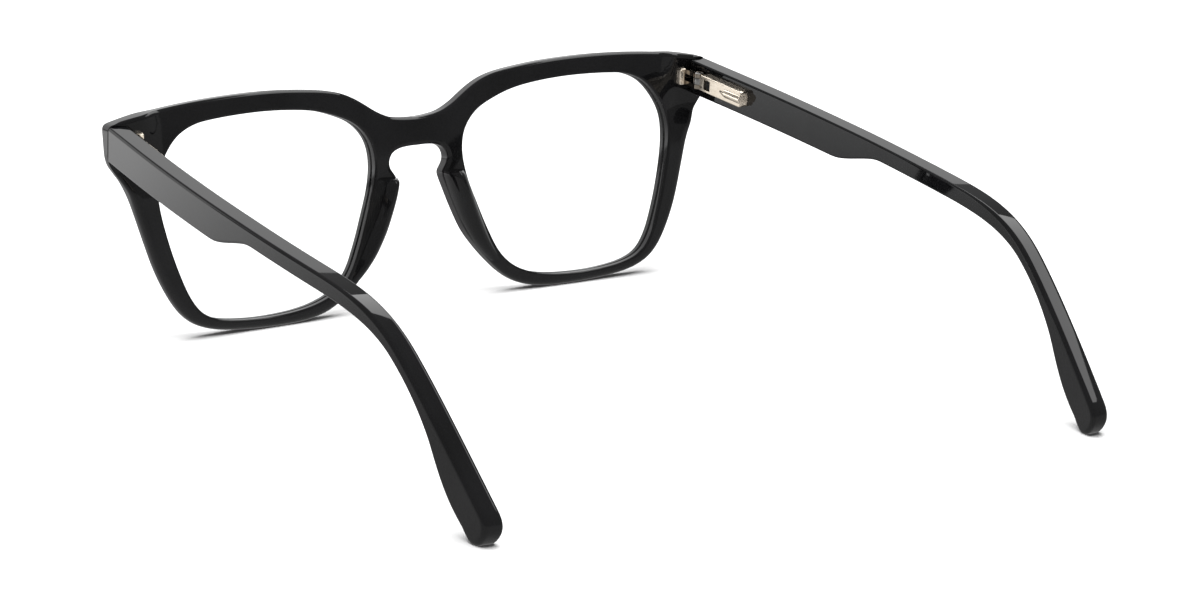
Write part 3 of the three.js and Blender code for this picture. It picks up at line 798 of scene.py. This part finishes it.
class Nodes:
    """A new material and short ways to add its nodes. Patterns follow the object's own coordinates."""

    def __init__(self, name):
        self.material = bpy.data.materials.new(name)
        self.material.use_nodes = True
        self.tree = self.material.node_tree
        self.shader = self.tree.nodes["Principled BSDF"]
        self.surface = self.tree.nodes["Material Output"].inputs["Surface"]
        self.place = self.add("ShaderNodeTexCoord").outputs["Object"]

    def add(self, kind, **values):
        """A node of that kind with its settings."""
        node = self.tree.nodes.new(kind)
        for key, value in values.items():
            setattr(node, key, value)
        return node

    def link(self, a, b):
        """Joins an output to an input."""
        self.tree.links.new(a, b)

    def noise(self, scale, detail, stretch=(1, 1, 1)):
        """Noise between 0 and 1, finer with a larger scale."""
        mapping = self.add("ShaderNodeMapping")
        mapping.inputs["Scale"].default_value = stretch
        self.link(self.place, mapping.inputs["Vector"])
        node = self.add("ShaderNodeTexNoise")
        node.inputs["Scale"].default_value = scale
        node.inputs["Detail"].default_value = detail
        self.link(mapping.outputs["Vector"], node.inputs["Vector"])
        return node.outputs["Fac"]

    def ramp(self, source, low, high):
        """A colour that runs from one (position, colour) to another."""
        node = self.add("ShaderNodeValToRGB")
        for element, (at, colour) in zip(node.color_ramp.elements, (low, high)):
            element.position = at
            element.color = (*colour, 1)
        self.link(source, node.inputs["Fac"])
        return node.outputs["Color"]

    def spread(self, source, low, high):
        """A number between low and high, from noise."""
        node = self.add("ShaderNodeMapRange")
        node.inputs["From Min"].default_value = 0.3
        node.inputs["From Max"].default_value = 0.7
        node.inputs["To Min"].default_value = low
        node.inputs["To Max"].default_value = high
        self.link(source, node.inputs["Value"])
        return node.outputs["Result"]

    def fade(self, source, start, end, low, high):
        """A number that goes smoothly from low at the start to high at the end."""
        node = self.add("ShaderNodeMapRange", interpolation_type="SMOOTHSTEP")
        values = {"From Min": start, "From Max": end, "To Min": low, "To Max": high}
        for socket, value in values.items():
            node.inputs[socket].default_value = value
        self.link(source, node.inputs["Value"])
        return node.outputs["Result"]

    def bump(self, source, strength, distance):
        """Relief on the shader's surface."""
        node = self.add("ShaderNodeBump")
        node.inputs["Strength"].default_value = strength
        node.inputs["Distance"].default_value = distance
        self.link(source, node.inputs["Height"])
        self.link(node.outputs["Normal"], self.shader.inputs["Normal"])


def acetate_material():
    """Polished black acetate."""
    n = Nodes("black_acetate")
    colour = n.ramp(n.noise(90, 4), (0.35, (0.0035, 0.0035, 0.0038)), (0.7, (0.006, 0.006, 0.0065)))
    n.link(colour, n.shader.inputs["Base Color"])
    n.link(n.spread(n.noise(420, 5), 0.015, 0.04), n.shader.inputs["Roughness"])
    n.shader.inputs["IOR"].default_value = 1.5
    n.bump(n.noise(60, 2), 0.02, 0.0001)
    return n.material


def metal_material(name, low, high, rough):
    """Metal between two colours, with fine streaks along the object's Y."""
    n = Nodes(name)
    n.link(n.ramp(n.noise(900, 3), (0.3, low), (0.75, high)), n.shader.inputs["Base Color"])
    n.link(n.spread(n.noise(2600, 3, (1, 0.12, 1)), rough * 0.7, rough * 1.4), n.shader.inputs["Roughness"])
    n.shader.inputs["Metallic"].default_value = 1.0
    n.bump(n.noise(3200, 2, (1, 0.1, 1)), 0.12, 0.00002)
    return n.material


def lens_material():
    """Clear plastic that only shows by its gloss, which grows where it is seen at a slant."""
    n = Nodes("clear_lens")
    n.tree.nodes.remove(n.shader)
    gloss = n.add("ShaderNodeBsdfGlossy")
    n.link(n.spread(n.noise(300, 2), 0.015, 0.03), gloss.inputs["Roughness"])
    through = n.add("ShaderNodeBsdfTransparent")
    tint = n.ramp(n.noise(60, 2), (0.3, (0.985, 0.99, 0.99)), (0.7, (0.995, 0.997, 0.997)))
    n.link(tint, through.inputs["Color"])
    facing = n.add("ShaderNodeLayerWeight")
    facing.inputs["Blend"].default_value = 0.5
    steep = n.add("ShaderNodeMath", operation="POWER")
    steep.inputs[1].default_value = 5
    share = n.add("ShaderNodeMapRange")
    share.inputs["To Min"].default_value = 0.018
    share.inputs["To Max"].default_value = 0.9
    n.link(facing.outputs["Facing"], steep.inputs[0])
    n.link(steep.outputs["Value"], share.inputs["Value"])
    mix = n.add("ShaderNodeMixShader")
    n.link(share.outputs["Result"], mix.inputs["Fac"])
    n.link(through.outputs["BSDF"], mix.inputs[1])
    n.link(gloss.outputs["BSDF"], mix.inputs[2])
    n.link(mix.outputs["Shader"], n.surface)
    return n.material


def paint(obj, material):
    """Gives the object that material alone."""
    obj.data.materials.clear()
    obj.data.materials.append(material)


# ---- the pieces -------------------------------------------------------------------------------------------

acetate = acetate_material()
pale_gold = metal_material("pale_gold", (0.88, 0.77, 0.63), (0.97, 0.87, 0.74), 0.2)
steel = metal_material("hinge_steel", (0.42, 0.41, 0.40), (0.56, 0.55, 0.53), 0.18)
# Painted shade: the leaf is the same gold as its pad, darkened to stand for the shade its arms lie in.
leaf_gold_painted_shade = metal_material("leaf_gold_painted_shade", (0.45, 0.39, 0.32), (0.55, 0.48, 0.40), 0.12)
# Painted shade: near-black steel for the plates that stand for the shadowed hollows in the housings' windows.
shadowed = metal_material("shadowed_steel", (0.03, 0.03, 0.03), (0.05, 0.05, 0.05), 0.3)
clear = lens_material()
SIDES = (("left", 1), ("right", -1))
TABLE_TOP = (Vector((0, 0, 0)), Vector((0, 0, -1)))


def stand_for(obj, node, body, material):
    paint(obj, material)
    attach(obj, body)
    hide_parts(node)


def make_acetate_and_lenses():
    """The front, the lenses, the nose pads and the temples, cut flat where they rest on the table."""
    front_acetate = make_front()
    cut(front_acetate, *TABLE_TOP)
    stand_for(front_acetate, "front", "front", acetate)
    for suffix, side in SIDES:
        lens = make_lens(f"lens_clear_{suffix}", side)
        stand_for(lens, f"lens_{suffix}", "front", clear)
        nose_pad = make_nose_pad(f"pad_{suffix}", side)
        stand_for(nose_pad, f"nose_pad_{suffix}", "front", acetate)
        arm = make_temple(f"temple_acetate_{suffix}", side)
        butt = on_hinge(side)(np.array([[0, -AXIS_SETBACK, 0]]))[0]
        cut(arm, Vector(butt * MM), Vector(-hinge_turn[:, 1] * np.array([side, 1, 1])))
        cut(arm, *TABLE_TOP)
        stand_for(arm, f"temple_{suffix}", f"temple_{suffix}", acetate)


def make_hinge(suffix, side):
    """The visible pieces of one sprung hinge."""
    leaf, housing = f"hinge_leaf_{suffix}", f"spring_housing_{suffix}"
    screw, slider, temple = f"hinge_screw_{suffix}", f"slider_{suffix}", f"temple_{suffix}"
    # The leaf wears the darkened gold, painted shade for its arms.
    stand_for(refined(f"leaf_{suffix}", leaf, LEAF_EDGE), leaf, "front", leaf_gold_painted_shade)
    stand_for(make_leaf_pad(f"leaf_pad_{suffix}", side), leaf, "front", pale_gold)
    stand_for(refined(f"screw_{suffix}", screw, SCREW_EDGE), screw, "front", steel)
    stand_for(make_housing(f"housing_{suffix}", side), housing, temple, pale_gold)
    stand_for(make_ridge(f"spring_barrel_{suffix}", side), housing, temple, pale_gold)
    # A near-black plate in the window, painted shade for the hollow there.
    stand_for(make_window_painted_shade(f"window_painted_shade_{suffix}", side), housing, temple, shadowed)
    stand_for(refined(f"knuckle_{suffix}", slider, KNUCKLE_EDGE), slider, slider, steel)


make_acetate_and_lenses()
for suffix, side in SIDES:
    make_hinge(suffix, side)
for node in frame["nodes"].values():
    if not node.hide_render:
        paint(node, steel)


# ---- table, backdrop and reflections, in metres -----------------------------------------------------------

TABLE_HALF = 6
WALL_RADIUS = 3.2
WALL_HEIGHT = 3.5
WALL_SIDES = 24


def staged(name, corners, faces, material):
    """A surface of the studio, which isn't part of the object. Its glow is never sampled as a lamp."""
    mesh = bpy.data.meshes.new(name)
    mesh.from_pydata(corners, [], faces)
    obj = bpy.data.objects.new(name, mesh)
    bpy.context.scene.collection.objects.link(obj)
    material.cycles.emission_sampling = "NONE"
    paint(obj, material)
    return obj


def make_table():
    """A pale table that glows more and more with distance, so that it ends in white."""
    n = Nodes("table_white")
    white = n.ramp(n.noise(3, 2), (0.3, (0.90, 0.90, 0.90)), (0.7, (0.92, 0.92, 0.92)))
    n.link(white, n.shader.inputs["Base Color"])
    n.shader.inputs["Roughness"].default_value = 0.9
    n.shader.inputs["Specular IOR Level"].default_value = 0.0
    far = n.add("ShaderNodeVectorMath", operation="LENGTH")
    n.link(n.place, far.inputs[0])
    n.shader.inputs["Emission Color"].default_value = (1, 1, 1, 1)
    glow = n.fade(far.outputs["Value"], 0.5, 2.0, 0.0, 0.95)
    n.link(glow, n.shader.inputs["Emission Strength"])
    h = TABLE_HALF
    table = staged("table", [(-h, -h, 0), (h, -h, 0), (h, h, 0), (-h, h, 0)], [(0, 1, 2, 3)], n.material)
    table.visible_glossy = False


def make_backdrop():
    """A white wall all round, which neither lights the pieces nor shows in their gloss."""
    n = Nodes("backdrop_white")
    n.tree.nodes.remove(n.shader)
    emission = n.add("ShaderNodeEmission")
    white = n.ramp(n.noise(0.6, 1), (0.2, (0.98, 0.98, 0.98)), (0.8, (1, 1, 1)))
    n.link(white, emission.inputs["Color"])
    n.link(emission.outputs["Emission"], n.surface)
    turns = [k * 2 * math.pi / WALL_SIDES for k in range(WALL_SIDES)]
    rim = [(WALL_RADIUS * math.cos(t), WALL_RADIUS * math.sin(t)) for t in turns]
    corners = [(x, y, z) for z in (0, WALL_HEIGHT) for x, y in rim]
    faces = []
    for k in range(WALL_SIDES):
        after = (k + 1) % WALL_SIDES
        faces.append((k, after, WALL_SIDES + after, WALL_SIDES + k))
    backdrop = staged("backdrop", corners, faces, n.material)
    backdrop.visible_glossy = backdrop.visible_diffuse = backdrop.visible_shadow = False


def make_card(name, corners, glow, centre=None, peak=0.0, reach=1.0):
    """A glowing card that only reflections see, brighter by peak at a centre and fading out over reach."""
    n = Nodes(name)
    n.tree.nodes.remove(n.shader)
    emission = n.add("ShaderNodeEmission")
    emission.inputs["Strength"].default_value = glow
    if centre is not None:
        distance = n.add("ShaderNodeVectorMath", operation="DISTANCE")
        distance.inputs[1].default_value = centre
        n.link(n.place, distance.inputs[0])
        brightness = n.fade(distance.outputs["Value"], 0.0, reach, glow + peak, glow)
        n.link(brightness, emission.inputs["Strength"])
    n.link(emission.outputs["Emission"], n.surface)
    card = staged(name, corners, [(0, 1, 2, 3)], n.material)
    card.visible_camera = card.visible_diffuse = card.visible_shadow = card.visible_transmission = False


make_table()
make_backdrop()
make_card("table_glow", [(-4, -4, 5e-5), (4, -4, 5e-5), (4, 4, 5e-5), (-4, 4, 5e-5)], 0.35,
          centre=(0.15, -0.26, 0), peak=0.95, reach=0.27)
make_card("front_glow", [(-2.4, -2, 0), (1.2, -2, 0), (1.2, -2, 1.1), (-2.4, -2, 1.1)], 0.85)
make_card("side_glow", [(-0.97, -1.1, 1), (-0.45, -1.1, 1), (-0.45, 0.45, 1), (-0.97, 0.45, 1)], 2.5)

# ---- light, in metres and watts ---------------------------------------------------------------------------

WORLD_STRENGTH = 0.2
METAL_LAMP_SIZE = 1.2
HINGES = Vector((0, -0.06, 0.04))


def make_world():
    """An even white surround."""
    world = bpy.data.worlds.new("studio")
    bpy.context.scene.world = world
    world.use_nodes = True
    background = world.node_tree.nodes["Background"]
    background.inputs["Color"].default_value = (1, 1, 1, 1)
    background.inputs["Strength"].default_value = WORLD_STRENGTH


def make_lamp(name, place, aim, size, power):
    """A square lamp that neither the camera nor reflections see."""
    data = bpy.data.lights.new(name, "AREA")
    data.shape = "RECTANGLE"
    data.size = data.size_y = size
    data.energy = power
    lamp = bpy.data.objects.new(name, data)
    lamp.location = place
    lamp.rotation_euler = (Vector(aim) - Vector(place)).to_track_quat("-Z", "Y").to_euler()
    lamp.visible_camera = lamp.visible_glossy = False
    bpy.context.scene.collection.objects.link(lamp)
    return lamp


def make_metal_lamp(name, direction, power, metal):
    """A lamp that only the metal reflects, and that only the metal blocks."""
    lamp = make_lamp(name, HINGES + Vector(direction), HINGES, METAL_LAMP_SIZE, power)
    lamp.visible_glossy = True
    lamp.visible_diffuse = False
    lamp.light_linking.receiver_collection = metal
    lamp.light_linking.blocker_collection = metal


make_world()
make_lamp("overhead", (0, 0, 1.2), (0, 0, 0), 1.6, 38)
metal = bpy.data.collections.new("metal")
for obj in bpy.context.scene.objects:
    if obj.type == "MESH" and obj.data.materials and obj.data.materials[0] in (pale_gold, steel):
        metal.objects.link(obj)
make_metal_lamp("metal_glow_front", (0.49, -0.83, -0.26), 11, metal)
make_metal_lamp("metal_glow_above", (-0.49, -0.83, 0.35), 12, metal)
make_metal_lamp("metal_glow_behind", (-0.4, 0.84, -0.37), 18, metal)

# ---- camera -----------------------------------------------------------------------------------------------

CAMERA_PLACE = (0.36272, 0.61324, 0.21141)
CAMERA_AZIMUTH, CAMERA_ELEVATION, CAMERA_ROLL = 30.707 * DEG, 15.292 * DEG, 0.31 * DEG
FOCAL_LENGTH = 117.83
SENSOR_WIDTH = 36


def make_camera():
    """The camera, looking down at the back of the frame from its left."""
    data = bpy.data.cameras.new("camera")
    data.sensor_width = SENSOR_WIDTH
    data.lens = FOCAL_LENGTH
    data.clip_start, data.clip_end = 0.01, 50
    camera = bpy.data.objects.new("camera", data)
    bpy.context.scene.collection.objects.link(camera)
    look = Vector((
        -math.sin(CAMERA_AZIMUTH) * math.cos(CAMERA_ELEVATION),
        -math.cos(CAMERA_AZIMUTH) * math.cos(CAMERA_ELEVATION),
        -math.sin(CAMERA_ELEVATION),
    ))
    right = Vector((-math.cos(CAMERA_AZIMUTH), math.sin(CAMERA_AZIMUTH), 0))
    up = right.cross(look)
    cos_roll, sin_roll = math.cos(CAMERA_ROLL), math.sin(CAMERA_ROLL)
    right, up = right * cos_roll + up * sin_roll, up * cos_roll - right * sin_roll
    turn = Matrix((right, up, -look)).transposed()
    camera.matrix_world = Matrix.Translation(CAMERA_PLACE) @ turn.to_4x4()
    bpy.context.scene.camera = camera
    bpy.context.scene.view_settings.view_transform = "Standard"


make_camera()
